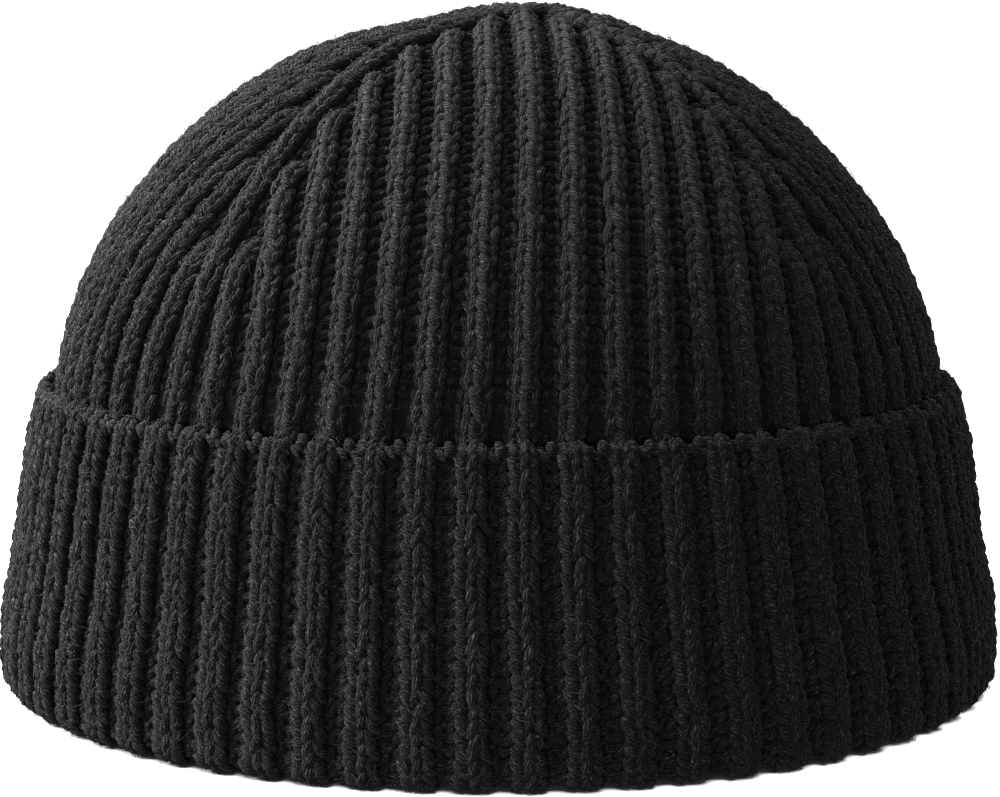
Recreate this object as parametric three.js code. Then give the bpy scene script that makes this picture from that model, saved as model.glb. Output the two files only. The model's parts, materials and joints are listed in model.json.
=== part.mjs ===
import * as THREE from 'three';
import { ParametricGeometry } from 'three/addons/geometries/ParametricGeometry.js';
import { mergeVertices } from 'three/addons/utils/BufferGeometryUtils.js';

// A chunky ribbed knit hat with a deep turned-up cuff, standing on the fold of the cuff.
// Millimetres, +Z up, the front towards -Y, the fold's underside at z = 0.

// Driving sizes
const DEPTH_RATIO = 0.947; // front to back over side to side, the same at every height
const RIBS = 64; // ribs round the hat, one of them in the middle of the front
const GORES = 4; // wedges of the crown, parted by four ribs that run up to the top
const RIB_RELIEF = 2.4; // from a rib's crest down to the furrow beside it
const SHEET = 2.0; // thickness of the knitting itself, at a crest or a furrow
const FABRIC = SHEET + RIB_RELIEF; // one whole layer of ribbed knitting
const LAYER_GAP = 0.3; // between the body and the cuff turned up over it
const HEM_HEIGHT = 60.5; // top edge of the cuff
const LEDGE_HEIGHT = 9.0; // where the body's tube stands on the inside of the fold
const TUBE_TOP = 57.5; // where the body goes in under the hem
const TUBE_BEND = 30; // where the tube and the cuff bend a little outwards
const LINE_RIB_PITCH = 8.2; // room that a line rib keeps all the way up
const PITCH_LOSS = 0.019; // ribs of a gore draw together by this much for each mm of height
const TUCK = 2.0; // length over which a rib sinks as it runs out beside a line rib
const GATHER_RADIUS = 14; // ribs flatten inside this radius, where the top is drawn together
const YARN = { color: 0x2b2b2e, roughness: 0.95, metalness: 0 };

const RIBS_PER_GORE = RIBS / GORES;
const WALL_STEP = FABRIC + LAYER_GAP;

// The four places round a rib that carry a column of vertices
const ribColumns = [
  { name: 'left shoulder', at: -0.28, depth: 0.3 },
  { name: 'crest', at: 0, depth: 0 },
  { name: 'right shoulder', at: 0.32, depth: 0.22 },
  { name: 'furrow', at: 0.5, depth: 1 },
];
const COLUMNS = RIBS * ribColumns.length;

// Side outline over the crests, from the top down to the hem of the cuff
const crownOutline = [
  { half: 0, z: 133.3 },
  { half: 8.4, z: 132.5 },
  { half: 22, z: 129.4 },
  { half: 39.7, z: 123.4 },
  { half: 55.6, z: 113.3 },
  { half: 69.5, z: 99.9 },
  { half: 79.0, z: 86.5 },
  { half: 85.0, z: 73.1 },
  { half: 87.6, z: 62.5 },
];

// Side outline of the cuff over its crests, from the hem down to the fold
const cuffOutline = [
  { half: 92.2, z: 57.5 },
  { half: 96.9, z: 30 },
  { half: 100, z: 6.2 },
];

// Section of the fold that the hat rests on, from the foot of the cuff's outer face to the ledge inside.
// inset is counted from the foot's half width, out and up give the way the surface faces there, and
// relief is the share of the rib relief that is left. Heights below zero are pressed flat on the ground.
const foldSection = [
  { inset: 0.5, z: 1.7, out: 0.7, up: -0.7, relief: 0.8, columns: 4 },
  { inset: 2.9, z: -0.7, out: 0, up: -1, relief: 0.8, columns: 4 },
  { inset: 6.0, z: -0.7, out: 0, up: -1, relief: 0.55, columns: 4 },
  { inset: 9.0, z: 2.6, out: -1, up: 0, relief: 0, columns: 1 },
  { inset: 9.0, z: LEDGE_HEIGHT, out: -1, up: 0, relief: 0, columns: 1 },
];

// Section of the cast-on hem: its lip stands a little proud of the ribs below it.
// thickness is counted from the cuff's inner face and rise from the hem's height.
const hemSection = [
  { thickness: 0.6, rise: 0.3, out: -0.5, up: 0.5, relief: 0.2, columns: 2 },
  { thickness: 2.8, rise: 0.2, out: 0.4, up: 0.9, relief: 0.3, columns: 4 },
  { thickness: 4.4, rise: -1.8, out: 1, up: 0, relief: 0.5, columns: 4 },
];

// The oval that every level section follows, half a unit wide each way from the axis
const oval = new THREE.EllipseCurve(0, 0, 1, DEPTH_RATIO, -Math.PI / 2, 1.5 * Math.PI);
oval.arcLengthDivisions = 2048;
const OVAL_LENGTH = oval.getLength();

// Half width of an outline at a height, straight between its points
function halfAt(outline, z) {
  const upper = outline.findLast((point) => point.z >= z) ?? outline[0];
  const lower = outline.find((point) => point.z <= z) ?? outline.at(-1);
  if (upper === lower) return upper.half;
  return THREE.MathUtils.mapLinear(z, lower.z, upper.z, lower.half, upper.half);
}

// Point of a level oval, a distance round it from the middle of the front, moved along the surface normal
function placeOnRow(row, distance, outwards, target) {
  const length = row.half * OVAL_LENGTH;
  const share = length > 0 ? THREE.MathUtils.euclideanModulo(distance / length, 1) : 0;
  const onOval = oval.getPointAt(share);
  const normal = new THREE.Vector2(onOval.x, onOval.y / DEPTH_RATIO ** 2).normalize();
  const sideways = outwards * row.slope.x;
  target.set(
    row.half * onOval.x + normal.x * sideways,
    row.half * onOval.y + normal.y * sideways,
    Math.max(0, row.z + outwards * row.slope.y),
  );
}

// A row that needs fewer columns lets neighbouring ones meet in a point
function columnFor(index, columnsPerRib) {
  const rib = Math.floor(index / ribColumns.length);
  const place = ribColumns[index % ribColumns.length];
  if (columnsPerRib === 4) return { rib, ...place };
  if (columnsPerRib === 2 && place.at === 0.5) return { rib, ...place };
  return { rib, ...ribColumns[1] };
}

// Where a column of the crown lies along its row, and how deep it lies below the crests.
// Ribs of a gore keep their spacing and run out one by one beside the line ribs.
function crownColumn(column, row) {
  const place = column.rib + column.at;
  const gore = Math.round(place / RIBS_PER_GORE);
  const fromMiddle = place - gore * RIBS_PER_GORE;
  const side = Math.sign(fromMiddle);
  const rowLength = row.half * OVAL_LENGTH;
  const lineDistance = rowLength / (2 * GORES);
  const ribsFromLine = RIBS_PER_GORE / 2 - Math.abs(fromMiddle);
  const limit = Math.max(0, lineDistance - 0.5 * LINE_RIB_PITCH);
  const middle = gore * 2 * lineDistance;
  if (ribsFromLine < 0.5) {
    const fromLine = Math.min(lineDistance, ribsFromLine * LINE_RIB_PITCH);
    return { distance: middle + side * (lineDistance - fromLine), depth: column.depth };
  }
  const wanted = Math.abs(fromMiddle) * row.pitch;
  const sunk = THREE.MathUtils.clamp(1 - (limit - wanted) / TUCK, 0, 1) ** 2;
  return {
    distance: middle + side * Math.min(wanted, limit),
    depth: THREE.MathUtils.lerp(column.depth, 1, sunk),
  };
}

// A closed surface from rows of columns, with the points that coincide welded
function surfaceFromRows(rows, pointAt, name) {
  const lastRow = rows.length - 1;
  const grid = new ParametricGeometry(
    (u, v, target) => {
      const index = Math.round(u * COLUMNS) % COLUMNS;
      pointAt(rows[Math.round((1 - v) * lastRow)], index, target);
    },
    COLUMNS,
    lastRow,
  );
  grid.deleteAttribute('normal');
  grid.deleteAttribute('uv');
  const welded = mergeVertices(grid, 1e-3);
  const corners = welded.index.array;
  const kept = [];
  for (let i = 0; i < corners.length; i += 3) {
    const [a, b, c] = corners.slice(i, i + 3);
    if (a !== b && b !== c && c !== a) kept.push(a, b, c);
  }
  welded.setIndex(kept);
  welded.computeVertexNormals();
  const mesh = new THREE.Mesh(welded, new THREE.MeshStandardMaterial(YARN));
  mesh.name = name;
  return mesh;
}

// Rows of the domed part, at even steps along its outline
function domeRows(steps, extra) {
  const curve = new THREE.SplineCurve(
    crownOutline.map((point) => new THREE.Vector2(point.half, point.z)),
  );
  const rows = [];
  for (let step = 0; step <= steps; step += 1) {
    const point = curve.getPointAt(step / steps);
    const along = curve.getTangentAt(step / steps);
    const half = step === 0 ? 0 : point.x;
    const slope = step === 0 ? new THREE.Vector2(0, 1) : new THREE.Vector2(-along.y, along.x);
    rows.push({ half, z: point.y, slope, columnsPerRib: 4, ...extra });
  }
  return rows;
}

// Rows of the tube hidden under the cuff, one cuff layer inside the cuff's outline
function tubeRows(heights, extra) {
  return heights.map((z) => ({
    half: halfAt(cuffOutline, z) - WALL_STEP,
    z,
    slope: new THREE.Vector2(1, 0),
    columnsPerRib: 1,
    ...extra,
  }));
}

// Body: the drawn-up top, the four gores and the tube that goes down inside the cuff
function makeCrown() {
  const tubeBottom = LEDGE_HEIGHT + LAYER_GAP;
  const outerFace = { outside: true };
  const innerFace = { outside: false, columnsPerRib: 2 };
  const rows = [
    ...domeRows(11, outerFace),
    ...tubeRows([TUBE_TOP], { ...outerFace, columnsPerRib: 4 }),
    ...tubeRows([TUBE_TOP - 8, TUBE_BEND, tubeBottom], outerFace),
    ...tubeRows([tubeBottom, TUBE_BEND, TUBE_TOP], innerFace),
    ...domeRows(6, innerFace).reverse(),
  ];
  const startPitch = (crownOutline.at(-1).half * OVAL_LENGTH) / RIBS;
  rows.forEach((row) => {
    const rise = row.z - crownOutline.at(-1).z;
    row.pitch = rise > 0 ? startPitch - PITCH_LOSS * rise : (row.half * OVAL_LENGTH) / RIBS;
    row.relief = RIB_RELIEF * Math.min(1, row.half / GATHER_RADIUS);
  });
  return surfaceFromRows(
    rows,
    (row, index, target) => {
      const column = columnFor(index, row.columnsPerRib);
      const { distance, depth } = crownColumn(column, row);
      const sheet = row.outside ? 0 : SHEET;
      placeOnRow(row, distance, -sheet - depth * row.relief, target);
    },
    'crown',
  );
}

// Closed section of the cuff: over the hem, down its outer face, round the fold and up the inner face
function cuffSection() {
  const foot = cuffOutline.at(-1).half;
  const inside = (z) => halfAt(cuffOutline, z) - FABRIC;
  const outerRow = ({ half, z }) => ({ half, z, out: 1, up: 0, relief: 1, columns: 4 });
  const innerRow = (z) => ({ half: inside(z), z, out: -1, up: 0, relief: 0, columns: 1 });
  const hemRow = (row) => ({ ...row, half: inside(TUBE_TOP) + row.thickness, z: HEM_HEIGHT + row.rise });
  const foldRow = (row) => ({ ...row, half: foot - row.inset });
  return [
    ...hemSection.map(hemRow),
    ...cuffOutline.map(outerRow),
    ...foldSection.map(foldRow),
    ...[LEDGE_HEIGHT, TUBE_BEND, TUBE_TOP].map(innerRow),
  ];
}

// Turned-up outer layer, from the fold to the cast-on hem
function makeCuff() {
  const section = cuffSection();
  const rows = [...section, section[0]].map((row) => ({
    ...row,
    slope: new THREE.Vector2(row.out, row.up),
    spacing: (row.half * OVAL_LENGTH) / RIBS,
  }));
  return surfaceFromRows(
    rows,
    (row, index, target) => {
      const column = columnFor(index, row.columns);
      const distance = (column.rib + column.at) * row.spacing;
      placeOnRow(row, distance, -column.depth * row.relief * RIB_RELIEF, target);
    },
    'cuff',
  );
}

const hat = new THREE.Group();
hat.name = 'knit_hat';
hat.add(makeCrown(), makeCuff());

export default hat;
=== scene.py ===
"""A chunky charcoal knit hat with a turned-up ribbed cuff, knitted stitch by stitch over the fixed frame.

Lengths inside the script are millimetres, and finished meshes are in metres.
"""

import json
import math
from dataclasses import dataclass

import bmesh
import bpy
import numpy as np
from bpy.props import FloatProperty, FloatVectorProperty, IntProperty, PointerProperty
from bpy.types import Operator, Panel, PropertyGroup
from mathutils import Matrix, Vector

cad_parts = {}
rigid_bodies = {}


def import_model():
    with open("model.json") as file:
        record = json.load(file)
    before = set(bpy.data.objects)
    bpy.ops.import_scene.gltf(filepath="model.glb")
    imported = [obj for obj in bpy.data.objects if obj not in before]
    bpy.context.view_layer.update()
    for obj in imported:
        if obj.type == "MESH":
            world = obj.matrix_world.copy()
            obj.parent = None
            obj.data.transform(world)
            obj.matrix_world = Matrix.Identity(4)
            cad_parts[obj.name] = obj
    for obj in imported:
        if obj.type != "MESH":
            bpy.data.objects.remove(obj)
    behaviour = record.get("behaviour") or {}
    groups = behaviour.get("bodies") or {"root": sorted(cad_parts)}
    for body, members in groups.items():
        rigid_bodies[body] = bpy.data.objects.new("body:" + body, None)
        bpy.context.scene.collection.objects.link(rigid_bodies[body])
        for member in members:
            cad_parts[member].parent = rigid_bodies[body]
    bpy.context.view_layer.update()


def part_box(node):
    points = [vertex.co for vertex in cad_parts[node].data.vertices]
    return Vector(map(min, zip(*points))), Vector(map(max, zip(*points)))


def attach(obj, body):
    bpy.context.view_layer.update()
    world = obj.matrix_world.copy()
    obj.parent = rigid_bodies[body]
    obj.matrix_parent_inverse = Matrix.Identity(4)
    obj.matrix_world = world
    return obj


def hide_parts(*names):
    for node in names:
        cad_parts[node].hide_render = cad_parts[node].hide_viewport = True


bl_info = {
    "name": "Rib knit hat",
    "version": (1, 0, 0),
    "blender": (4, 5, 0),
    "location": "3D View > Sidebar > Knit hat",
    "description": "Knits a ribbed hat with a turned-up cuff, one stitch at a time",
    "category": "Add Mesh",
}

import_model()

MM = 0.001
BODY = "root"
YARN_MAP = "yarn"
# Point attribute: a random tone on the stitches, lowered as painted shade on the legs in the furrows; on
# the walls, 1 on the inside, where no furrow shade is painted
TONE = "tone"

# Sizes of the whole hat: the foot, the top and the depth are read from the frame
FOOT_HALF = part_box("cuff")[1].x / MM
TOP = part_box("crown")[1].z / MM
DEPTH_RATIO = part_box("cuff")[1].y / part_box("cuff")[1].x
HEM_HEIGHT = 60.5
DOME_FOOT = 62.5  # height from which the ribs of a gore draw together
GORES = 4

# The ribs
LINE_RIB_PITCH = 8.2  # room across for one of the ribs that part the gores
FULL_PITCH = 8.1  # room across for a rib as wide as its legs are drawn
NARROWEST = 0.3  # share of its full width that a rib keeps at least
WIDEST = 1.1
APEX_END = 2.2  # half width of the hat where the line ribs end
GATHER_RADIUS = 14.0  # half width inside which the relief of the fabric fades out

# Depth of the fabric under the stitches, inwards from the crests
BED = 1.0  # outside, under a rib
FURROW_BED = 3.9  # outside, in a furrow
FOLD_BED = 1.7  # outside, in a furrow under the fold
FOOT_FILL = 0.9  # by which the crown's furrows are shallower from just over the hem down
FILL_RISE = 5.0  # height over the dome's foot at which that begins
SHEET = 2.4  # inside, under a rib
FABRIC = 4.8  # inside, under a furrow
TUCK = 2.0  # length over which it goes down beside a line rib

# The fold, and the tube of the crown that stands in it
FOLD_RISE = 8.0  # height up to which the fold presses the ribs
FOLD_SPREAD = 0.12  # share by which it spreads them
FOLD_PRESS = 0.5  # share of their relief that it takes
LEDGE_HEIGHT = 9.0
LEDGE_FOOT = 2.6  # height at which its upright face begins
LEDGE_INSET = 8.8  # of that face from the foot's outline
LAYER_GAP = 0.3  # between the ledge and the tube over it
WALL_STEP = 4.7  # from the cuff's crests in to the tube's
LINING_STEP = 4.6  # from the cuff's crests in to its inside
STRAIGHT_FROM = 6.0  # height over which the cuff's outline only rises

# How the pattern of the photographed hat is out of true
HEM_SAG = 1.5  # by which the hem stands lower in front than behind
BULGE = 3.5  # by which the ribs swing round near the foot on the front's right
BULGE_AT = 0.9  # radians round from the front's middle
BULGE_SPREAD = 0.2  # radians squared
APEX_RADIUS = 32.0  # half width inside which the slide moves the surface too, in full from half of it in

# How the ribs of a gore draw together: height above the dome's foot, and share of the full pitch
PITCH_SHARE = [(0.0, 1.0), (12.0, 0.967), (25.0, 0.944), (42.0, 0.914), (53.0, 0.898), (71.0, 0.885)]

# How far the pattern has slid to +X in front: height and distance
SLIDE = [
    (0.0, 1.2),
    (40.0, 0.5),
    (60.0, 0.6),
    (66.0, 1.0),
    (87.0, 2.0),
    (104.0, 3.1),
    (115.0, 3.9),
    (133.0, 4.6),
]

# Outline over the crests: half width, and drop below the top
DOME_OUTLINE = [
    (0.0, 0.0),
    (8.4, 0.8),
    (22.0, 3.9),
    (39.7, 9.9),
    (55.6, 20.0),
    (69.5, 33.4),
    (79.0, 46.8),
    (85.0, 60.2),
    (87.7, 70.8),
    (88.2, 75.8),
]

# Outline of the cuff over its crests, from under the fold up to the hem: inset from the foot, and height
CUFF_OUTLINE = [
    (8.2, 1.4),
    (6.0, 0.3),
    (2.9, 0.2),
    (0.6, 2.0),
    (0.0, 6.2),
    (3.1, 30.0),
    (7.8, 57.5),
    (8.3, 59.3),
    (9.6, 60.6),
    (11.4, 60.9),
]


@dataclass
class Leg:
    """One visible leg of a stitch, in the rib's own frame: across it, up it and out of it."""

    across: float  # middle of the leg from the rib's middle, right is positive
    lean: float  # how far the upper end lies to the right of the middle
    reach: float  # half its length along the rib
    top: float  # its highest point, below the crest
    width: float  # half its thickness across the fabric
    height: float  # half its thickness out of the fabric
    ply: float  # angle of its plies to the leg in degrees, upper end to the left
    up: float = 0.0  # middle of the leg along the rib, in rows
    segments: int = 6
    rings: int = 4
    dip: float = 0.75  # how far its ends go down between the other legs
    shaded: float = 0.0  # how far its tone is lowered, because the ribs beside it keep the light off


# Legs of a stitch on the crown, from the left flank over the crest to the right, then the furrow
CROWN_LEGS = [
    Leg(-2.6, -0.4, 1.6, -1.9, 0.75, 0.9, ply=40, segments=5, shaded=0.4),
    Leg(-1.4, 0.4, 2.5, -0.5, 1.05, 1.2, ply=0, dip=0.25),
    Leg(0.0, -0.7, 2.4, 0.0, 1.2, 1.25, ply=50, dip=0.2),
    Leg(1.4, 0.45, 2.5, -0.5, 1.05, 1.25, ply=0, dip=0.25),
    Leg(2.8, 0.4, 1.3, -2.6, 0.75, 0.8, ply=30, up=0.5, segments=5, dip=0.2, shaded=0.5),
    Leg(-4.1, 1.4, 0.8, -2.85, 1.0, 0.9, ply=15, up=0.1, segments=5, dip=0.1, shaded=0.5),
]

# The same on the turned-up cuff, where the fabric's other side shows
CUFF_LEGS = [
    Leg(-2.85, 0.4, 1.6, -1.8, 0.9, 0.9, ply=-35, segments=5, shaded=0.1),
    Leg(-1.5, -0.7, 2.1, -0.4, 1.1, 1.2, ply=52, dip=0.3),
    Leg(0.0, 0.45, 2.3, -0.05, 0.9, 1.2, ply=5, dip=0.2),
    Leg(1.4, -0.6, 2.1, -0.4, 1.0, 1.2, ply=42, dip=0.25),
    Leg(2.9, 0.4, 1.4, -2.3, 0.8, 0.8, ply=-40, up=0.5, segments=5, dip=0.2, shaded=0.5),
    Leg(-4.1, 1.2, 0.8, -2.5, 0.95, 0.9, ply=-30, up=0.1, segments=5, dip=0.1, shaded=0.4),
]

# Legs of the cast-on edge, in the frame of a path round the hem: across is down, up is along the edge
EDGE_LEGS = [
    Leg(across=0.7, lean=0.75, reach=1.5, top=-0.85, width=0.7, height=0.95, ply=35, dip=0.45),
    Leg(across=-1.9, lean=0.5, reach=1.5, top=-1.6, width=1.0, height=1.4, ply=20, segments=5),
]

# The knot of the cast-on edge that stands in each furrow, in the same frame
KNOT_LEGS = [
    Leg(across=0.1, lean=0.3, reach=1.15, top=0.6, width=0.85, height=1.2, ply=8, dip=0.4),
    Leg(across=0.7, lean=-0.3, reach=1.0, top=0.1, width=0.75, height=1.2, ply=-12, dip=0.4),
]

# A long loop of the yarn that draws the top together
GATHER_LEGS = [
    Leg(across=0.0, lean=0.9, reach=2.3, top=0.1, width=0.85, height=1.1, ply=30, dip=0.5),
]

LOOPS_A_RIB = 4  # of the cast-on edge
HEM_DIP = 0.5  # by which the cast-on edge lies deeper in the furrows than on the ribs
EDGE_BELOW = 1.6  # from the hem's top down to the middle of the cast-on edge
KNOT_PAST = 0.05  # of a knot past the middle of its furrow, in rib pitches

# Radius of each ring of loops at the top, and its number of loops
GATHER_RINGS = [(8.0, 18), (5.6, 13), (3.2, 7), (1.4, 3)]


def linear(hex_colour):
    """An sRGB hex colour as linear red, green, blue and alpha."""
    values = [int(hex_colour[i : i + 2], 16) / 255 for i in (1, 3, 5)]
    return [v / 12.92 if v <= 0.04045 else ((v + 0.055) / 1.055) ** 2.4 for v in values] + [1.0]


class KnitHatSizes(PropertyGroup):
    """Sizes and colours of the knitting that a user would change."""

    ribs: IntProperty(
        name="Ribs",
        description="Ribs round the hat",
        default=64,
        min=16,
    )
    crown_row: FloatProperty(
        name="Crown row",
        description="Height of one row of stitches on the crown",
        default=2.65 * MM,
        unit="LENGTH",
    )
    cuff_row: FloatProperty(
        name="Cuff row",
        description="Height of one row of stitches on the cuff",
        default=2.45 * MM,
        unit="LENGTH",
    )
    ply_width: FloatProperty(
        name="Ply width",
        description="Width of one of the fine plies that the yarn is twisted from",
        default=0.72 * MM,
        unit="LENGTH",
    )
    unevenness: FloatProperty(
        name="Unevenness",
        description="How far a stitch may stray from its place",
        default=0.17 * MM,
        unit="LENGTH",
    )
    yarn_colour: FloatVectorProperty(
        name="Yarn",
        description="Colour of the yarn's fibres",
        subtype="COLOR",
        default=linear("#252525")[:3],
    )


# Shape of the hat


OUTLINE_STEP = 0.25
PATH_STEP = 0.4


def walk_along(points):
    """Length walked along a line of points, at each of them."""
    return np.concatenate([[0], np.cumsum(np.linalg.norm(np.diff(points, axis=0), axis=1))])


def smooth_line(points, step):
    """A smooth curve through points, as points about a step apart."""
    points = np.asarray(points, float)
    chord = walk_along(points)
    slope = np.gradient(points, chord, axis=0)
    at = np.linspace(0, chord[-1], max(2, round(chord[-1] / step)) + 1)
    k = np.clip(np.searchsorted(chord, at, side="right") - 1, 0, len(points) - 2)
    gap = (chord[k + 1] - chord[k])[:, None]
    t = (at - chord[k])[:, None] / gap
    return (
        points[k] * (1 + 2 * t) * (1 - t) ** 2
        + slope[k] * gap * t * (1 - t) ** 2
        + points[k + 1] * t**2 * (3 - 2 * t)
        + slope[k + 1] * gap * t**2 * (t - 1)
    )


class Outline:
    """The hat's side outline over its crests, by the length walked up along it."""

    def __init__(self, points):
        self.points = smooth_line(points, OUTLINE_STEP)
        run = np.gradient(self.points, axis=0)
        run /= np.linalg.norm(run, axis=1)[:, None]
        self.facing = np.stack([run[:, 1], -run[:, 0]], axis=-1)
        self.walked = walk_along(self.points)
        self.length = self.walked[-1]

    def at(self, walked):
        """Half width, height, and how far the surface faces outwards and upwards."""
        columns = [*self.points.T, *self.facing.T]
        return [np.interp(walked, self.walked, column) for column in columns]


# The hat's plan for a half width of 1, from the middle of the front round to it again
ANGLES = np.linspace(-math.pi / 2, 1.5 * math.pi, 4097)
OVAL = np.stack([np.cos(ANGLES), DEPTH_RATIO * np.sin(ANGLES)], axis=-1)
OVAL_RUN = walk_along(OVAL)
OVAL_LENGTH = OVAL_RUN[-1]


def on_hat(half, height, out, up, distance):
    """Points on the crests and their normals, a distance round from the middle of the front.

    The pattern slides a little to one side, over the surface low down and with the surface at the top.
    """
    half = np.maximum(half, 1e-6)
    slide = np.interp(height, *np.transpose(SLIDE))
    apex = np.clip(2 - 2 * half / APEX_RADIUS, 0, 1)
    turn = distance / half * 2 * math.pi / OVAL_LENGTH
    from_bulge = np.mod(turn, 2 * math.pi) - BULGE_AT
    near_foot = np.clip(1 - height / HEM_HEIGHT, 0, 1)
    swing = BULGE * near_foot * np.exp(-(from_bulge**2) / BULGE_SPREAD)
    distance = distance + slide * (1 - apex) * np.cos(turn) + swing
    share = np.mod(distance / half, OVAL_LENGTH)
    angle = np.interp(share, OVAL_RUN, ANGLES)
    x, y = np.cos(angle), DEPTH_RATIO * np.sin(angle)
    across = np.stack([x, y / DEPTH_RATIO**2], axis=-1)
    across /= np.linalg.norm(across, axis=-1)[..., None]
    place = np.stack([half * x + slide * apex, half * y, np.broadcast_to(height, x.shape)], axis=-1)
    normal = np.stack([across[..., 0] * out, across[..., 1] * out, np.broadcast_to(up, x.shape)], axis=-1)
    return place, normal / np.linalg.norm(normal, axis=-1)[..., None]


CROWN = Outline([(half, TOP - drop) for half, drop in reversed(DOME_OUTLINE)])
CUFF = Outline([(FOOT_HALF - inset, height) for inset, height in CUFF_OUTLINE])


def rib_pitch(half, height, ribs):
    """Distance between the ribs of a gore: they draw together a little towards the top."""
    start = np.interp(DOME_FOOT, CROWN.points[:, 1], CROWN.points[:, 0]) * OVAL_LENGTH / ribs
    share = np.interp(height - DOME_FOOT, *np.transpose(PITCH_SHARE))
    return np.where(height > DOME_FOOT, start * share, half * OVAL_LENGTH / ribs)


def soft_min(a, b, blend):
    """The lower of two values, rounded where they cross."""
    return np.minimum(a, b) - np.maximum(blend - np.abs(a - b), 0) ** 2 / (4 * blend)


# Ribs as paths over the hat

LOWEST = 0.02  # height under which no stitch reaches
THIN_RELIEF = 0.4  # share of its relief that a rib would keep if it had no width


@dataclass
class RibPath:
    """Middle line of a rib at its crest, with the fabric's frame along it."""

    walked: np.ndarray
    place: np.ndarray
    across: np.ndarray
    out: np.ndarray
    sink: np.ndarray
    narrow: np.ndarray
    relief: np.ndarray

    def lay(self, points):
        """Points given across, up and out of the rib, put in their place on the hat."""
        walked = points[..., 1]

        def along(values):
            return np.stack([np.interp(walked, self.walked, column) for column in values.T], axis=-1)

        def width(values):
            return np.interp(walked, self.walked, values)[..., None]

        narrow = width(self.narrow)
        across = points[..., 0:1] * narrow
        relief = THIN_RELIEF + (1 - THIN_RELIEF) * narrow
        rise = points[..., 2:3] * width(self.relief) * relief - width(self.sink)
        laid = along(self.place) + across * along(self.across) + rise * along(self.out)
        laid[..., 2] = np.maximum(laid[..., 2], LOWEST)
        return laid


def rib_path(place, out, sink, narrow, relief=None):
    """A rib path from points up its middle."""
    run = np.gradient(place, axis=0)
    across = np.cross(run, out)
    across /= np.linalg.norm(across, axis=1)[:, None]
    if relief is None:
        relief = np.ones_like(sink)
    return RibPath(walk_along(place), place, across, out, sink, narrow, relief)


TIP_CLEARANCE = 5.6  # from the end of a gore's rib to the middle of the line rib
TIP_BLEND = 2.5  # over which it turns to run beside the line rib
TIP_LENGTH = 3.2  # over which it goes down beside the line rib
TIP_SINK = 3.0  # how far it goes down there


def crown_rib(gore, rib, ribs):
    """Path of one rib of a gore, or with the last number of the gore, of the line rib beside it."""
    walked = np.arange(0, CROWN.length, PATH_STEP)
    half, height, out, up = CROWN.at(walked)
    line = half * OVAL_LENGTH / (2 * GORES)
    side = np.sign(rib)
    if rib == ribs // GORES // 2:
        distance = (2 * gore + 1) * line
        run_out = np.where(half < APEX_END, 1.0, -1.0)
        sink = np.zeros_like(line)
        pitch = LINE_RIB_PITCH
    else:
        pitch = rib_pitch(half, height, ribs)
        wanted = abs(rib) * pitch
        limit = line - TIP_CLEARANCE
        distance = 2 * gore * line + side * np.maximum(soft_min(wanted, limit, TIP_BLEND), 0)
        run_out = wanted - limit - TIP_LENGTH
        sink = TIP_SINK * np.clip((wanted - limit) / TIP_LENGTH, 0, 1) ** 2
    kept = np.cumsum(run_out > 0) == 0
    narrow = np.minimum(line / (0.5 * LINE_RIB_PITCH), pitch / FULL_PITCH).clip(NARROWEST, WIDEST)
    place, facing = on_hat(half, height, out, up, distance)
    return rib_path(place[kept], facing[kept], sink[kept], narrow[kept])


def sag(height, distance):
    """How much lower the cuff stands at a height and a distance round, than it would without the sag.

    The distance is the one round a hat with a half width of 1.
    """
    in_front = 0.5 + 0.5 * np.cos(distance * 2 * math.pi / OVAL_LENGTH)
    return HEM_SAG * np.maximum(height, 0) / HEM_HEIGHT * in_front


def cuff_rib(rib, ribs):
    """Path of one rib of the cuff, from under the fold up to the hem."""
    walked = np.arange(0, CUFF.length, PATH_STEP)
    half, height, out, up = CUFF.at(walked)
    pitch = half * OVAL_LENGTH / ribs
    height = height - sag(height, rib * pitch / half)
    place, facing = on_hat(half, height, out, up, rib * pitch)
    near_fold = np.clip(1 - height / FOLD_RISE, 0, 1)
    narrow = (1 + FOLD_SPREAD * near_fold) * pitch / FULL_PITCH
    return rib_path(place, facing, np.zeros_like(half), narrow, 1 - FOLD_PRESS * near_fold)


RING_LAP = 5.0  # by which a ring's path runs on past its ends


def hem_ring(ribs, below):
    """Path round the hem, a little below its top edge, deeper in the furrows than on the ribs."""
    half, height, out, up = (float(v) for v in CUFF.at(CUFF.length - below))
    length = half * OVAL_LENGTH
    distance = np.arange(-RING_LAP, length + RING_LAP, PATH_STEP)
    ones = np.ones_like(distance)
    height = height - sag(height, distance / half)
    place, facing = on_hat(half * ones, height, out * ones, up * ones, distance)
    wave = 0.5 - 0.5 * np.cos(2 * math.pi * ribs * distance / length)
    return rib_path(place, facing, HEM_DIP * wave, ones), length


def apex_ring(radius):
    """Path round the drawn-up top."""
    walked = np.interp(radius, CROWN.points[::-1, 0], CROWN.walked[::-1])
    half, height, out, up = (float(v) for v in CROWN.at(walked))
    length = half * OVAL_LENGTH
    distance = np.arange(-RING_LAP, length + RING_LAP, PATH_STEP / 2)
    ones = np.ones_like(distance)
    place, facing = on_hat(half * ones, height * ones, out * ones, up * ones, distance)
    return rib_path(place, facing, 0 * ones, ones), length


# Stitches


@dataclass
class Stitch:
    """The legs of one stitch as one small mesh, with each corner's yarn map and each point's leg."""

    points: np.ndarray
    faces: np.ndarray
    yarn: np.ndarray
    leg: np.ndarray
    shaded: np.ndarray


BLUNTNESS = 0.07  # of a leg's ends: at 0 they are as round as a ball's
BOW = 0.12  # share of its lean by which a leg curves to either side
ROOF = 0.28  # by which one end of a leg lies lower and the other higher, as on a tiled roof


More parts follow.
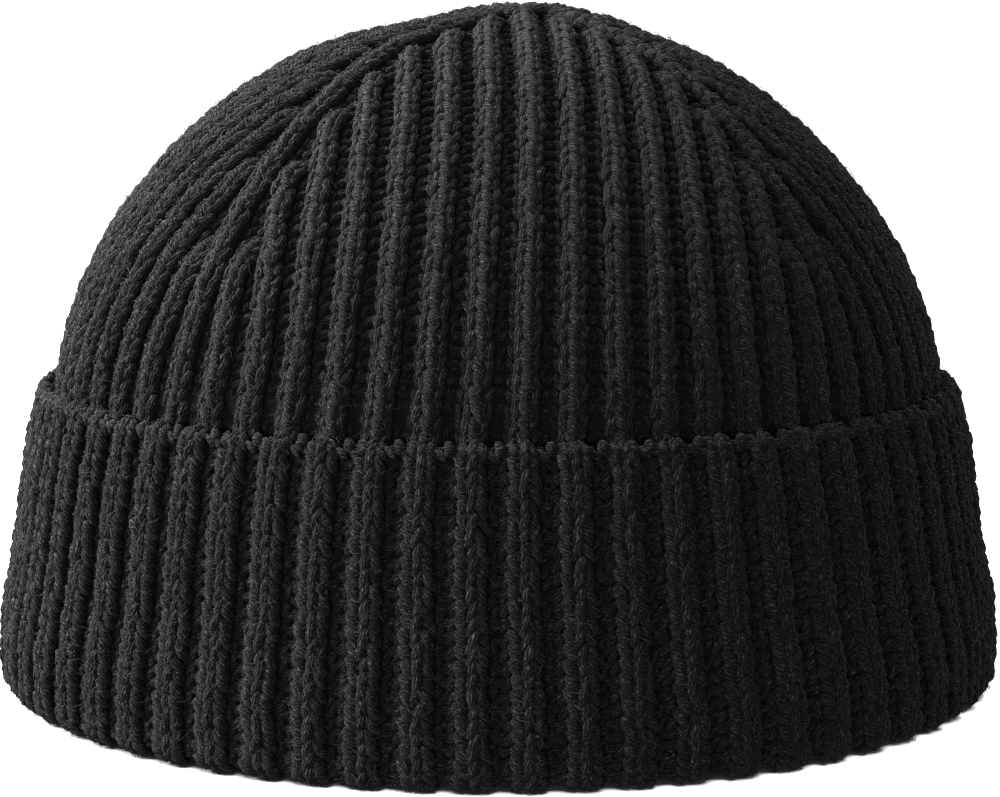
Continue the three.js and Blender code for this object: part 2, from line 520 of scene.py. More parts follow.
def leg_shape(leg, row, knitted_up):
    """A swollen, bowed length of yarn made from a small ball."""
    ball = bmesh.new()
    bmesh.ops.create_uvsphere(ball, u_segments=leg.segments, v_segments=leg.rings, radius=1)
    bmesh.ops.triangulate(ball, faces=ball.faces)
    unit = np.array([v.co for v in ball.verts])
    faces = np.array([[v.index for v in face.verts] for face in ball.faces])
    ball.free()
    # Blender lists the faces in another order on each run, so they are sorted, each from its lowest corner
    first = faces.argmin(axis=1)[:, None]
    faces = np.take_along_axis(faces, (first + np.arange(3)) % 3, axis=1)
    faces = faces[np.lexsort(faces.T)]
    side, rise, t = unit.T
    length = math.hypot(leg.lean, leg.reach)
    swell = (np.maximum(1 - t**2, 0) + 1e-9) ** -BLUNTNESS
    bow = t + BOW * np.sin(math.pi * t)
    across = leg.across + leg.lean * bow + side * swell * leg.width * leg.reach / length
    along = leg.up * row + leg.reach * t - side * swell * leg.width * leg.lean / length
    tilt = -ROOF * t * (1 if knitted_up else -1)
    out = leg.top - leg.height + rise * swell * leg.height - leg.dip * t**2 + tilt
    turn = np.arctan2(side, rise)[faces]
    turn = np.where(np.ptp(turn, axis=1, keepdims=True) > math.pi, np.mod(turn, 2 * math.pi), turn)
    round_it, along_it = turn * 0.5 * (leg.width + leg.height), t[faces] * length
    ply = math.radians(leg.ply)
    yarn = np.stack(
        [
            round_it * math.cos(ply) + along_it * math.sin(ply),
            along_it * math.cos(ply) - round_it * math.sin(ply),
        ],
        axis=-1,
    )
    return np.stack([across, along, out], axis=-1), faces, yarn


def make_stitch(legs, row, knitted_up):
    """All the legs of a stitch together."""
    shapes = [leg_shape(leg, row, knitted_up) for leg in legs]
    starts = np.cumsum([0] + [len(points) for points, _, _ in shapes])
    return Stitch(
        points=np.concatenate([points for points, _, _ in shapes]),
        faces=np.concatenate([faces + start for (_, faces, _), start in zip(shapes, starts)]),
        yarn=np.concatenate([yarn for _, _, yarn in shapes]),
        leg=np.concatenate([np.full(len(points), i) for i, (points, _, _) in enumerate(shapes)]),
        shaded=np.array([leg.shaded for leg in legs]),
    )


OUT_SHARE = 0.8  # of a stitch's straying that it keeps out of the fabric
SWING = 0.09  # by which a leg's slant may stray, as a slope
YARN_SPAN = 40.0  # length of yarn map from which each leg has its own place


def knit_rib(path, stitch, row, start, unevenness, rng):
    """One rib's stitches, row by row up its path: points, triangles, yarn map and tone, with the tone of
    the legs in the furrows lowered as painted shade.
    """
    rows = int((path.walked[-1] - 2 * start) / row + 0.5)
    legs = stitch.leg.max() + 1
    stray = rng.normal(0, unevenness, (rows, legs, 3)).clip(-2 * unevenness, 2 * unevenness)
    stray[..., 2] *= OUT_SHARE
    swing = rng.normal(0, SWING, (rows, legs))
    middle = start + (np.arange(rows) + 0.5) * row
    points = stitch.points[None] + stray[:, stitch.leg]
    points[..., 0] += swing[:, stitch.leg] * stitch.points[None, :, 1]
    points[..., 1] += middle[:, None]
    laid = path.lay(points)
    faces = stitch.faces[None] + np.arange(rows)[:, None, None] * len(stitch.points)
    slip = rng.uniform(0, YARN_SPAN, (rows, legs, 2))
    yarn = stitch.yarn[None] + slip[:, stitch.leg[stitch.faces[:, 0]]][:, :, None]
    # Legs in the furrows get their tone lowered: painted shade
    tone = (rng.uniform(0, 1, (rows, legs)) - stitch.shaded)[:, stitch.leg]
    return laid.reshape(-1, 3), faces.reshape(-1, 3), yarn.reshape(-1, 2), tone.ravel()


FIBRES_A_MM = 2.6  # loose fibres on each millimetre of a rib
CROWN_SPREAD = 1.7  # how far most of them are from the rib's middle
CUFF_SPREAD = 1.8
FIBRE_WIDTH = 0.15
FIBRE_REACH = 3.6  # from the rib's middle
FIBRE_HALF = 0.25  # half length of the shortest
FIBRE_MORE = 1.25  # by which the longest are longer
FIBRE_TIP = 0.3  # share of the width that is left at the ends
FIBRE_BEND = 0.45  # share of the half length by which one may bend
FIBRE_ROOT = 0.06  # from the rib's surface to one that lies close
FIBRE_DROOP = 0.8  # share of its height over that by which its ends are lower
CREST_FALL = -0.85  # of a rib's surface 2 mm beside its middle
CREST_ROUND = 2.5  # power by which it falls away
FIBRE_POINTS = 6
FIBRE_FACES = np.array([[0, 2, 1], [1, 2, 3], [2, 4, 3], [3, 4, 5]])


def loose_fibres(path, per_mm, spread, rng):
    """Fine loose fibres over a rib, as thin flat strands: points, triangles, yarn map and tone."""
    count = int(per_mm * path.walked[-1])
    across = rng.normal(0, spread, count).clip(-FIBRE_REACH, FIBRE_REACH)
    middle = np.stack([across, rng.uniform(0, path.walked[-1], count)], axis=-1)
    turn = rng.uniform(0, 2 * math.pi, count)
    half_length = FIBRE_HALF + FIBRE_MORE * rng.uniform(0, 1, count) ** 3
    along = np.stack([np.cos(turn), np.sin(turn)], axis=-1)
    beside = np.stack([-along[:, 1], along[:, 0]], axis=-1)
    bend = rng.uniform(-FIBRE_BEND, FIBRE_BEND, count) * half_length
    # Most lie close, and a few stand up to half a millimetre off
    lift = rng.uniform(0.02, 0.5, count) ** 2 * 2
    rows = []
    for t, width in ((-1, FIBRE_TIP), (0, 1), (1, FIBRE_TIP)):
        flat = middle + along * (t * half_length)[:, None] + beside * (bend * (1 - t * t))[:, None]
        fall = CREST_FALL * np.abs(flat[:, 0] / 2) ** CREST_ROUND
        out = fall + lift * (1 - FIBRE_DROOP * t * t) + FIBRE_ROOT
        for edge in (-0.5, 0.5):
            spot = flat + beside * (edge * FIBRE_WIDTH * width)
            rows.append(np.stack([spot[:, 0], spot[:, 1], out], axis=-1))
    points = path.lay(np.stack(rows, axis=1)).reshape(-1, 3)
    faces = (FIBRE_FACES[None] + FIBRE_POINTS * np.arange(count)[:, None, None]).reshape(-1, 3)
    tone = np.repeat(rng.uniform(0, 1, count), FIBRE_POINTS)
    return points, faces, np.zeros((faces.size, 2)), tone


def joined(parts):
    """Several lots of points, triangles, yarn map and tone as one."""
    starts = np.cumsum([0] + [len(points) for points, _, _, _ in parts])
    return (
        np.concatenate([points for points, _, _, _ in parts]),
        np.concatenate([faces + start for (_, faces, _, _), start in zip(parts, starts)]),
        np.concatenate([yarn for _, _, yarn, _ in parts]),
        np.concatenate([tone for _, _, _, tone in parts]),
    )


# Pieces


def new_piece(name, mesh, material, node):
    """A finished piece of the hat that stands for a node of the frame."""
    for old in [o for o in bpy.data.objects if o.name == name]:
        bpy.data.objects.remove(old)
    piece = bpy.data.objects.new(name, mesh)
    bpy.context.scene.collection.objects.link(piece)
    mesh.materials.append(material)
    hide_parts(node)
    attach(piece, BODY)
    return piece


def stitched_mesh(name, points, faces, yarn, tone):
    """A mesh of many small bodies from arrays in millimetres."""
    mesh = bpy.data.meshes.new(name)
    mesh.vertices.add(len(points))
    mesh.vertices.foreach_set("co", (points * MM).astype(np.float32).ravel())
    mesh.loops.add(faces.size)
    mesh.loops.foreach_set("vertex_index", faces.astype(np.int32).ravel())
    mesh.polygons.add(len(faces))
    mesh.polygons.foreach_set("loop_start", np.arange(0, faces.size, 3, dtype=np.int32))
    mesh.polygons.foreach_set("use_smooth", np.ones(len(faces), bool))
    mesh.uv_layers.new(name=YARN_MAP)
    mesh.uv_layers[YARN_MAP].data.foreach_set("uv", yarn.astype(np.float32).ravel())
    mesh.attributes.new(TONE, "FLOAT", "POINT")
    mesh.attributes[TONE].data.foreach_set("value", tone.astype(np.float32))
    mesh.update(calc_edges=True)
    if mesh.validate():
        raise RuntimeError(f"{name}: the stitches made a broken mesh")
    return mesh


# Columns of a wall for each rib: place in rib pitches from its middle, and share of the furrow's depth
RIB_AT = np.array([-0.3, 0.0, 0.3, 0.5])
RIB_DEPTH = np.array([0.82, 0.0, 0.82, 1.0])
PER_RIB = len(RIB_AT)

FLOOR_GAP = 0.05  # height under which no wall reaches
DOME_ROWS = 44
CUFF_ROWS = 40
# Heights of the rows of the crown's tube in the cuff, and of the rows of the cuff's inside behind it
TUBE_HEIGHTS = np.array([57.5, 48.0, 36.0, 24.0, LEDGE_HEIGHT + LAYER_GAP])
LINING_HEIGHTS = np.array([LEDGE_HEIGHT, 30.0, 57.5])
# Length up the fabric from row to row, for the yarn map
DOME_ROW = 2.7
CUFF_ROW = 2.45


def wall_mesh(name, ribs, inside, walked, place_at):
    """A closed wall of knitting from a grid of rows round the hat that comes back to its first row.

    Of each row, inside tells whether it is on the inside of the hat, where no furrow shade is painted and
    the fabric gets a lighter tone, and walked how far up the fabric it is.
    """
    rows, columns = len(inside) - 1, ribs * PER_RIB
    wall = bmesh.new()
    bmesh.ops.create_grid(wall, x_segments=columns, y_segments=rows, size=0.5)
    spots = np.array([v.co for v in wall.verts])
    column = np.rint((spots[:, 0] + 0.5) * columns).astype(int)
    row = np.rint((0.5 - spots[:, 1]) * rows).astype(int)
    rib, spot = np.divmod(column, PER_RIB)
    yarn_map = wall.loops.layers.uv.new(YARN_MAP)
    flat = np.stack([(rib + RIB_AT[spot]) * LINE_RIB_PITCH, walked[row]], axis=-1)
    for face in wall.faces:
        face.smooth = True
        for loop in face.loops:
            loop[yarn_map].uv = flat[loop.vert.index]
    tone = wall.verts.layers.float.new(TONE)
    placed = place_at(row, rib % ribs, spot) * MM
    for vert, place, within in zip(wall.verts, placed, inside[row]):
        vert.co = place
        vert[tone] = within
    bmesh.ops.remove_doubles(wall, verts=wall.verts, dist=0.002 * MM)
    bmesh.ops.dissolve_degenerate(wall, edges=wall.edges, dist=0.001 * MM)
    bmesh.ops.recalc_face_normals(wall, faces=wall.faces)
    mesh = bpy.data.meshes.new(name)
    wall.to_mesh(mesh)
    wall.free()
    return mesh


def crown_column(place, depth, half, pitch, ribs):
    """Distance round and depth of a column of the crown's wall, tucked in beside the line ribs."""
    per_gore = ribs // GORES
    line = half * OVAL_LENGTH / (2 * GORES)
    gore = np.round(place / per_gore)
    from_middle = place - gore * per_gore
    from_line = per_gore / 2 - np.abs(from_middle)
    limit = np.maximum(line - 0.5 * LINE_RIB_PITCH, 0)
    wanted = np.abs(from_middle) * pitch
    on_line = from_line < 0.5
    sunk = np.clip(1 - (limit - wanted) / TUCK, 0, 1) ** 2
    beside_line = line - np.minimum(line, from_line * LINE_RIB_PITCH)
    moved = np.where(on_line, beside_line, np.minimum(wanted, limit))
    distance = 2 * gore * line + np.sign(from_middle) * moved
    return distance, np.where(on_line, depth, depth + (1 - depth) * sunk)


def cuff_half(heights):
    """Half width over the cuff's crests."""
    upright = CUFF.points[CUFF.points[:, 1] > STRAIGHT_FROM]
    return np.interp(heights, upright[:, 1], upright[:, 0])


def crown_wall(sizes, material):
    """The closed fabric of the body under its stitches, from the top down to the ledge in the cuff."""
    foot = np.interp(DOME_FOOT, CROWN.points[:, 1], CROWN.walked)
    outer = np.stack(CROWN.at(np.linspace(foot, CROWN.length, DOME_ROWS)[::-1]), axis=-1)
    upright, level = np.ones_like(TUBE_HEIGHTS), np.zeros_like(TUBE_HEIGHTS)
    tube = np.stack([cuff_half(TUBE_HEIGHTS) - WALL_STEP, TUBE_HEIGHTS, upright, level], axis=-1)
    face = np.concatenate([outer, tube])
    section = np.concatenate([face, face[::-1]])
    inside = np.arange(len(section)) >= len(face)
    half, height, out, up = section.T
    pitch = rib_pitch(half, height, sizes.ribs)
    relief = np.minimum(1, half / GATHER_RADIUS)
    steps = np.arange(len(face))
    walked = np.concatenate([steps, steps[::-1]]) * DOME_ROW

    def place_at(row, rib, spot):
        column = rib + RIB_AT[spot], RIB_DEPTH[spot]
        distance, depth = crown_column(*column, half[row], pitch[row], sizes.ribs)
        crest = np.where(inside[row], SHEET, BED)
        low = FURROW_BED - FOOT_FILL * np.clip((DOME_FOOT + FILL_RISE - height[row]) / FILL_RISE, 0, 1)
        furrow = np.where(inside[row], FABRIC, low)
        place, normal = on_hat(half[row], height[row], out[row], up[row], distance)
        return place - normal * (crest + depth * relief[row] * (furrow - crest))[:, None]

    mesh = wall_mesh("crown_wall", sizes.ribs, inside, walked, place_at)
    return new_piece("crown_wall", mesh, material, "crown")


def cuff_wall(sizes, material):
    """The closed fabric of the cuff under its stitches, round the fold and up the inside."""
    outer = np.stack(CUFF.at(np.linspace(0.0, CUFF.length, CUFF_ROWS)), axis=-1)[::-1]
    inwards, level = -np.ones_like(LINING_HEIGHTS), np.zeros_like(LINING_HEIGHTS)
    lining = np.stack([cuff_half(LINING_HEIGHTS) - LINING_STEP, LINING_HEIGHTS, inwards, level], axis=-1)
    ledge_half = FOOT_HALF - LEDGE_INSET
    ledge = np.array([[ledge_half, LEDGE_FOOT, -1, 0], [ledge_half, LEDGE_HEIGHT, -1, 0]])
    section = np.concatenate([outer, ledge, lining, outer[:1]])
    inside = np.zeros(len(section), bool)
    inside[len(outer) : -1] = True
    half, height, out, up = section.T
    near_fold = np.clip(1 - height / FOLD_RISE, 0, 1)
    crest = np.where(inside, 0.0, BED)
    furrow = np.where(inside, 0.0, FURROW_BED + (FOLD_BED - FURROW_BED) * near_fold)
    walked = np.arange(len(section)) * CUFF_ROW

    def place_at(row, rib, spot):
        distance = (rib + RIB_AT[spot]) * half[row] * OVAL_LENGTH / sizes.ribs
        lowered = height[row] - sag(height[row], distance / half[row])
        place, normal = on_hat(half[row], lowered, out[row], up[row], distance)
        depth = crest[row] + RIB_DEPTH[spot] * (furrow[row] - crest[row])
        place = place - normal * depth[:, None]
        place[:, 2] = np.maximum(place[:, 2], FLOOR_GAP)
        return place

    mesh = wall_mesh("cuff_wall", sizes.ribs, inside, walked, place_at)
    return new_piece("cuff_wall", mesh, material, "cuff")


# Materials


def node(tree, kind, inputs=None, **settings):
    """Adds a node with its settings, and its inputs as values or as links."""
    made = tree.nodes.new(kind)
    for name, value in settings.items():
        setattr(made, name, value)
    for key, value in (inputs or {}).items():
        if isinstance(value, bpy.types.NodeSocket):
            tree.links.new(value, made.inputs[key])
        else:
            made.inputs[key].default_value = value
    return made


WAVE_PERIOD = 0.314  # width of a wave texture's band at scale 1, so a scale is this over a width in mm


def new_material(name):
    """An empty material and its node tree."""
    material = bpy.data.materials.new(name)
    material.use_nodes = True
    material.node_tree.nodes.clear()
    return material, material.node_tree


def mixed(tree, share, first, second):
    """A colour between two."""
    return node(tree, "ShaderNodeMix", {0: share, 6: first, 7: second}, data_type="RGBA").outputs[2]


def scaled(tree, colour, share):
    """A colour made darker or lighter."""
    return node(tree, "ShaderNodeVectorMath", {0: colour, "Scale": share}, operation="SCALE").outputs[0]


def maths(tree, operation, *values):
    """The result of some arithmetic on values or links."""
    return node(tree, "ShaderNodeMath", dict(enumerate(values)), operation=operation).outputs[0]


def yarn_shade(sizes, share):
    """The yarn's colour times a share."""
    return [share * v for v in sizes.yarn_colour] + [1.0]


def finished(tree, **inputs):
    """Gives a material its surface, with the shader's inputs by name, spaces as underscores."""
    named = {name.replace("_", " "): value for name, value in inputs.items()}
    surface = node(tree, "ShaderNodeBsdfPrincipled", named)
    node(tree, "ShaderNodeOutputMaterial", {"Surface": surface.outputs[0]})


def plied_yarn(sizes):
    """Spun wool blend, many fine plies twisted together and slightly fuzzy.

    The plies give the slanting ridges, with painted shade in the gaps between them. Single paler fibres,
    with painted glints where they catch the light, give the pale streaks, and the sheen the soft grey
    edge.
    The legs in the furrows carry painted shade in their tone.
    """
    material, tree = new_material("charcoal plied wool yarn with painted shade and glints")
    yarn = node(tree, "ShaderNodeUVMap", uv_map=YARN_MAP).outputs["UV"]
    # One band of the wave is one ply
    plies = node(
        tree,
        "ShaderNodeTexWave",
        {
            "Vector": yarn,
            "Scale": WAVE_PERIOD / (sizes.ply_width / MM),
            "Distortion": 5.5,
            "Detail": 2.0,
            "Detail Scale": 2.6,
        },
    )
    ridges = maths(tree, "POWER", plies.outputs[1], 1.1)
    # Single pale fibres half a millimetre wide and twice as long, on top of the plies, their brightness
    # partly their own colour and partly painted glints
    drawn_out = node(tree, "ShaderNodeMapping", {"Vector": yarn, "Scale": (2.2, 1.0, 1.0)})
    fibres = node(
        tree,
        "ShaderNodeTexNoise",
        {"Vector": drawn_out.outputs[0], "Scale": 1.0, "Detail": 3.0, "Roughness": 0.65},
    )
    streaks = node(
        tree,
        "ShaderNodeMapRange",
        {"Value": fibres.outputs[0], "From Min": 0.5, "From Max": 0.62},
        interpolation_type="SMOOTHSTEP",
    )
    # Darker in the gaps between the plies: painted shade, a quarter of the yarn's colour against 1.25
    # times on the ridges
    body = mixed(tree, ridges, yarn_shade(sizes, 0.25), yarn_shade(sizes, 1.25))
    # Pale streaks on the ply ridges only, six times the yarn's colour: paler fibres and painted glints
    # where they catch the light
    pale_fibres_and_glints = maths(tree, "MULTIPLY", streaks.outputs[0], ridges)
    lit = mixed(tree, pale_fibres_and_glints, body, yarn_shade(sizes, 6.0))
    # Each leg has a tone of its own, lowered as painted shade on the legs that lie in the furrows, and
    # patches about a millimetre long where the wool is spun unevenly
    tone = node(tree, "ShaderNodeAttribute", attribute_name=TONE).outputs["Fac"]
    shade = node(
        tree,
        "ShaderNodeMapRange",
        {"Value": tone, "From Min": -2.0, "To Min": 0.0, "To Max": 1.2},
    )
    strands = node(tree, "ShaderNodeMapping", {"Vector": yarn, "Scale": (1.9, 0.8, 1.0)})
    patches = node(tree, "ShaderNodeTexNoise", {"Vector": strands.outputs[0], "Scale": 1.0, "Detail": 1.0})
    patchy = node(
        tree,
        "ShaderNodeMapRange",
        {"Value": patches.outputs[0], "From Min": 0.3, "From Max": 0.7, "To Min": 0.55, "To Max": 1.45},
    )
    both = maths(tree, "MULTIPLY", shade.outputs[0], patchy.outputs[0])
    height = maths(tree, "MULTIPLY_ADD", fibres.outputs[0], 0.7, ridges)
    bump = node(tree, "ShaderNodeBump", {"Height": height, "Strength": 1.0, "Distance": 0.33 * MM})
    finished(
        tree,
        Base_Color=scaled(tree, lit, both),
        Roughness=0.82,
        Specular_IOR_Level=0.25,
        Sheen_Weight=0.08,
        Sheen_Roughness=0.45,
        Normal=bump.outputs[0],
    )
    return material


def loose_fibre(sizes):
    """Single wool fibres that stand off the yarn, some paler than it because light passes through them."""
    material, tree = new_material("loose charcoal wool fibres")
    tone = node(tree, "ShaderNodeAttribute", attribute_name=TONE).outputs["Fac"]
    colour = mixed(tree, tone, yarn_shade(sizes, 0.7), yarn_shade(sizes, 3.5))
    finished(tree, Base_Color=colour, Roughness=0.7, Specular_IOR_Level=0.3)
    return material


def knit_ground(sizes):
    """The same yarn seen flat as rows of small loops, darkened by painted shade in the furrows and lighter
    on the inside, where none is painted.
    """
    material, tree = new_material("charcoal knitted ground with painted furrow shade")
    flat = node(tree, "ShaderNodeUVMap", uv_map=YARN_MAP).outputs["UV"]
    # Rows of loops 2.6 mm high, under fuzz that is well under a millimetre across
    rows = node(
        tree,
        "ShaderNodeTexWave",
        {
            "Vector": flat,
            "Scale": WAVE_PERIOD / 2.6,
            "Distortion": 5.0,
            "Detail": 2.0,
            "Detail Scale": 1.0,
        },
        bands_direction="Y",
    )
    fuzz = node(
        tree,
        "ShaderNodeTexNoise",
        {"Vector": flat, "Scale": 1.6, "Detail": 4.0, "Roughness": 0.75},
    )
    # The ground is darker than the yarn: painted shade for the furrows
    colour = mixed(tree, fuzz.outputs[0], yarn_shade(sizes, 0.06), yarn_shade(sizes, 1.4))
    inside = node(tree, "ShaderNodeAttribute", attribute_name=TONE).outputs["Fac"]
    # On the inside no furrow shade is painted, so it is up to 1.6 times lighter
    lift = node(tree, "ShaderNodeMapRange", {"Value": inside, "To Min": 1.0, "To Max": 1.6})
    height = maths(tree, "MULTIPLY_ADD", fuzz.outputs[0], 1.5, rows.outputs[1])
    bump = node(tree, "ShaderNodeBump", {"Height": height, "Distance": 0.8 * MM})
    finished(
        tree,
        Base_Color=scaled(tree, colour, lift.outputs[0]),
        Roughness=0.9,
        Specular_IOR_Level=0.25,
        Sheen_Weight=0.05,
        Normal=bump.outputs[0],
    )
    return material


def shared_material(name, make, sizes):
    """The named material, made once."""
    found = bpy.data.materials.get(name)
    return found or make(sizes)


# Operators

QUARTERS = ["front", "left", "back", "right"]


class KNITHAT_OT_walls(Operator):
    """Make the closed walls of fabric that the stitches lie on"""

    bl_idname = "knit_hat.walls"
    bl_label = "Fabric walls"

    def execute(self, context):
        sizes = context.scene.knit_hat
        ground = shared_material("charcoal knitted ground with painted furrow shade", knit_ground, sizes)
        crown_wall(sizes, ground)
        cuff_wall(sizes, ground)
        return {"FINISHED"}


class KNITHAT_OT_crown(Operator):
    """Knit the four gores of the crown and the line ribs between them"""

    bl_idname = "knit_hat.crown"
    bl_label = "Crown stitches"

    def execute(self, context):
        sizes = context.scene.knit_hat
        yarn = shared_material("charcoal plied wool yarn with painted shade and glints", plied_yarn, sizes)
        row = sizes.crown_row / MM
        stitch = make_stitch(CROWN_LEGS, row, knitted_up=True)
        half_gore = sizes.ribs // GORES // 2
        for gore, name in enumerate(QUARTERS):
            rng = np.random.default_rng(101 + gore)
            parts = [
                knit_rib(crown_rib(gore, rib, sizes.ribs), stitch, row, 0.0, sizes.unevenness / MM, rng)
                for rib in range(1 - half_gore, half_gore + 1)
            ]
            mesh = stitched_mesh(f"crown_{name}", *joined(parts))
            new_piece(f"crown_{name}", mesh, yarn, "crown")
        self.closure(sizes, yarn)
        return {"FINISHED"}

    def closure(self, sizes, yarn):
        """The loops that draw the top together, in rings round the apex."""
        rng = np.random.default_rng(151)
        rings = []
        for radius, loops in GATHER_RINGS:
            path, length = apex_ring(radius)
            step = length / loops
            stitch = make_stitch(GATHER_LEGS, step, True)
            rings.append(knit_rib(path, stitch, step, RING_LAP, 2 * sizes.unevenness / MM, rng))
        mesh = stitched_mesh("crown_closure", *joined(rings))
        new_piece("crown_closure", mesh, yarn, "crown")


class KNITHAT_OT_cuff(Operator):
    """Knit the turned-up cuff in four quarters"""

    bl_idname = "knit_hat.cuff"
    bl_label = "Cuff stitches"

    def execute(self, context):
        sizes = context.scene.knit_hat
        yarn = shared_material("charcoal plied wool yarn with painted shade and glints", plied_yarn, sizes)
        row = sizes.cuff_row / MM
        stitch = make_stitch(CUFF_LEGS, row, knitted_up=False)
        quarter = sizes.ribs // 4
        for part, name in enumerate(QUARTERS):
            rng = np.random.default_rng(201 + part)
            first = part * quarter - quarter // 2
            parts = [
                knit_rib(cuff_rib(rib, sizes.ribs), stitch, row, 0.0, sizes.unevenness / MM, rng)
                for rib in range(first, first + quarter)
            ]
            mesh = stitched_mesh(f"cuff_{name}", *joined(parts))
            new_piece(f"cuff_{name}", mesh, yarn, "cuff")
        self.edge(sizes, yarn)
        return {"FINISHED"}

    def edge(self, sizes, yarn):
        """The cast-on edge: a cord of loops along the hem, with a knot in each furrow."""
        rng = np.random.default_rng(301)
        stray = sizes.unevenness / MM
        cord, length = hem_ring(sizes.ribs, EDGE_BELOW)
        step = length / (LOOPS_A_RIB * sizes.ribs)
        loops = knit_rib(cord, make_stitch(EDGE_LEGS, step, True), step, RING_LAP, stray, rng)
        step = length / sizes.ribs
        first = RING_LAP + KNOT_PAST * step
        knots = knit_rib(cord, make_stitch(KNOT_LEGS, step, True), step, first, stray, rng)
        mesh = stitched_mesh("cuff_edge", *joined([loops, knots]))
        new_piece("cuff_edge", mesh, yarn, "cuff")


class KNITHAT_OT_fuzz(Operator):
    """Lay fine loose fibres over the ribs"""

    bl_idname = "knit_hat.fuzz"
    bl_label = "Loose fibres"

    def execute(self, context):
        sizes = context.scene.knit_hat
        fibre = shared_material("loose charcoal wool fibres", loose_fibre, sizes)
        rng = np.random.default_rng(401)
        half_gore = sizes.ribs // GORES // 2
        gore_ribs = [(gore, rib) for gore in range(GORES) for rib in range(1 - half_gore, half_gore + 1)]
        crown_paths = [crown_rib(gore, rib, sizes.ribs) for gore, rib in gore_ribs]
        cuff_paths = [cuff_rib(rib, sizes.ribs) for rib in range(sizes.ribs)]
        crown = [loose_fibres(path, FIBRES_A_MM, CROWN_SPREAD, rng) for path in crown_paths]
        cuff = [loose_fibres(path, FIBRES_A_MM, CUFF_SPREAD, rng) for path in cuff_paths]
        for name, node_name, parts in (("crown_fuzz", "crown", crown), ("cuff_fuzz", "cuff", cuff)):
            new_piece(name, stitched_mesh(name, *joined(parts)), fibre, node_name)
        return {"FINISHED"}


# The photograph's view: the camera looks a little down, from a little to the left of the hat's front
CAMERA_DISTANCE = 510.0
CAMERA_DOWN = math.radians(8.116)
CAMERA_ROUND = math.radians(-2.5)
CAMERA_AIM = 54.3  # height of the point that it looks at
LENS = 91.3
SENSOR = 36.0
SHIFT = 0.0013

# The floor's section from its middle outwards, in metres
FLOOR_SECTION = [(0, 0), (1.6, 0), (1.9, 0.06), (2.12, 0.28), (2.2, 0.6), (2.2, 1.6)]
FLOOR_STEPS = 96

# Soft lamps: name, place, width and height in metres, and power in watts.
# The powers bring the light and dark of each part of the hat close to the photograph's.
LAMPS = [
    ("key", (-1.20, 0.12, 0.80), (0.7, 0.7), 21.0),
    ("side", (-1.15, -0.40, 0.80), (0.7, 0.7), 13.0),
    ("back", (-0.90, 0.90, 0.70), (0.6, 0.6), 16.5),
    ("top", (-0.10, 0.40, 1.35), (0.6, 0.6), 6.0),
    ("rim", (1.10, 0.45, 0.35), (0.6, 0.6), 2.4),
    ("far", (0.55, 1.25, 0.50), (0.6, 0.6), 3.0),
    ("low", (-0.30, -1.25, 0.09), (0.9, 0.15), 2.8),
]
# Lights the floor alone, to the photograph's plain white
FLOOR_LAMP = ("floor_light", (0.0, -0.9, 1.5), (1.6, 1.6), 110.0)
SKY = 0.12


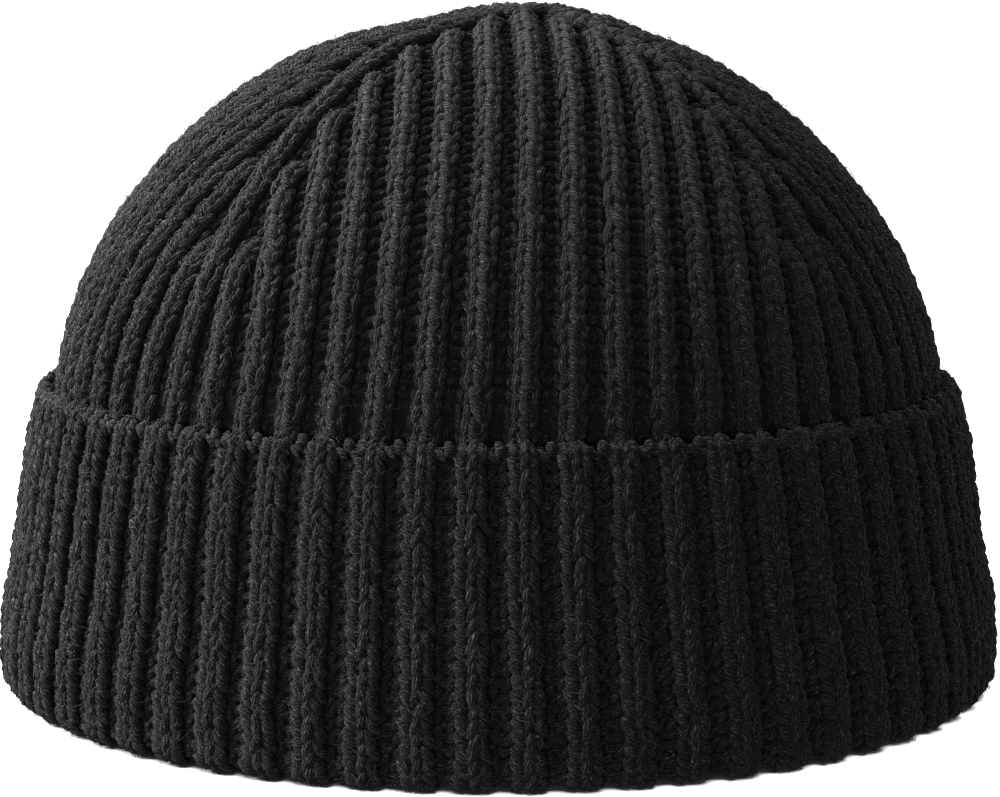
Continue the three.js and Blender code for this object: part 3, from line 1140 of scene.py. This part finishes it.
class KNITHAT_OT_stage(Operator):
    """Set the pale floor, the soft studio light and the camera"""

    bl_idname = "knit_hat.stage"
    bl_label = "Studio"

    def execute(self, context):
        scene = context.scene
        scene.view_settings.view_transform = "Standard"
        self.floor(scene)
        self.light(scene)
        self.camera(scene)
        return {"FINISHED"}

    def floor(self, scene):
        """A flat floor that curves up all round into a low wall."""
        bowl = bmesh.new()
        verts = [bowl.verts.new((x, 0, z)) for x, z in FLOOR_SECTION]
        edges = [bowl.edges.new(pair) for pair in zip(verts, verts[1:])]
        bmesh.ops.spin(
            bowl,
            geom=verts + edges,
            axis=(0, 0, 1),
            cent=(0, 0, 0),
            angle=2 * math.pi,
            steps=FLOOR_STEPS,
            use_merge=True,
        )
        bmesh.ops.remove_doubles(bowl, verts=bowl.verts, dist=1e-5)
        bmesh.ops.recalc_face_normals(bowl, faces=bowl.faces)
        bmesh.ops.reverse_faces(bowl, faces=bowl.faces)
        for face in bowl.faces:
            face.smooth = True
        mesh = bpy.data.meshes.new("studio_floor")
        bowl.to_mesh(mesh)
        bowl.free()
        material, tree = new_material("matt white studio paper")
        finished(tree, Base_Color=linear("#f4f4f3"), Roughness=0.95)
        mesh.materials.append(material)
        floor = bpy.data.objects.new("studio_floor", mesh)
        scene.collection.objects.link(floor)
        # The photograph's hat takes no light from below, so the white floor throws none on it
        floor.visible_diffuse = False
        floor.visible_glossy = False

    def light(self, scene):
        """Large soft lamps, the strongest from the upper left, and a faint white sky."""
        world = bpy.data.worlds.new("soft white studio")
        world.use_nodes = True
        sky = world.node_tree.nodes["Background"].inputs
        sky["Color"].default_value = linear("#ffffff")
        sky["Strength"].default_value = SKY
        scene.world = world
        for lamp in LAMPS:
            self.lamp(scene, *lamp)
        lit_floor = bpy.data.collections.new("lit floor")
        lit_floor.objects.link(scene.objects["studio_floor"])
        self.lamp(scene, *FLOOR_LAMP).light_linking.receiver_collection = lit_floor

    def lamp(self, scene, name, place, size, power):
        """An oval soft lamp that points at the hat."""
        lamp = bpy.data.lights.new(name, "AREA")
        lamp.shape = "ELLIPSE"
        lamp.size, lamp.size_y = size
        lamp.energy = power
        holder = bpy.data.objects.new(name, lamp)
        holder.location = place
        aim = Vector((0, 0, CAMERA_AIM * MM)) - Vector(place)
        holder.rotation_euler = aim.to_track_quat("-Z", "Y").to_euler()
        scene.collection.objects.link(holder)
        return holder

    def camera(self, scene):
        """A long lens a little above the hat, as the photograph was taken."""
        camera = bpy.data.cameras.new("camera")
        camera.lens = LENS
        camera.sensor_width = SENSOR
        camera.shift_x = SHIFT
        camera.clip_start = 0.05
        holder = bpy.data.objects.new("camera", camera)
        away = CAMERA_DISTANCE * math.cos(CAMERA_DOWN)
        place = Vector(
            (
                away * math.sin(CAMERA_ROUND),
                -away * math.cos(CAMERA_ROUND),
                CAMERA_AIM + CAMERA_DISTANCE * math.sin(CAMERA_DOWN),
            )
        )
        holder.location = place * MM
        aim = Vector((0, 0, CAMERA_AIM)) - place
        holder.rotation_euler = aim.to_track_quat("-Z", "Y").to_euler()
        scene.collection.objects.link(holder)
        scene.camera = holder


OPERATORS = [
    KNITHAT_OT_walls,
    KNITHAT_OT_crown,
    KNITHAT_OT_cuff,
    KNITHAT_OT_fuzz,
    KNITHAT_OT_stage,
]


class KNITHAT_PT_panel(Panel):
    """The hat's sizes and the steps that make it"""

    bl_idname = "KNITHAT_PT_panel"
    bl_label = "Knit hat"
    bl_space_type = "VIEW_3D"
    bl_region_type = "UI"
    bl_category = "Knit hat"

    def draw(self, context):
        sizes = context.scene.knit_hat
        for name in KnitHatSizes.__annotations__:
            self.layout.prop(sizes, name)
        for operator in OPERATORS:
            self.layout.operator(operator.bl_idname)


CLASSES = [KnitHatSizes, *OPERATORS, KNITHAT_PT_panel]


def register():
    """Adds the classes and the hat's sizes to Blender."""
    for cls in CLASSES:
        bpy.utils.register_class(cls)
    bpy.types.Scene.knit_hat = PointerProperty(type=KnitHatSizes)


def unregister():
    """Takes them away again."""
    del bpy.types.Scene.knit_hat
    for cls in reversed(CLASSES):
        bpy.utils.unregister_class(cls)


def main():
    register()
    bpy.ops.knit_hat.walls()
    bpy.ops.knit_hat.crown()
    bpy.ops.knit_hat.cuff()
    bpy.ops.knit_hat.fuzz()
    bpy.ops.knit_hat.stage()


if __name__ == "__main__":
    main()
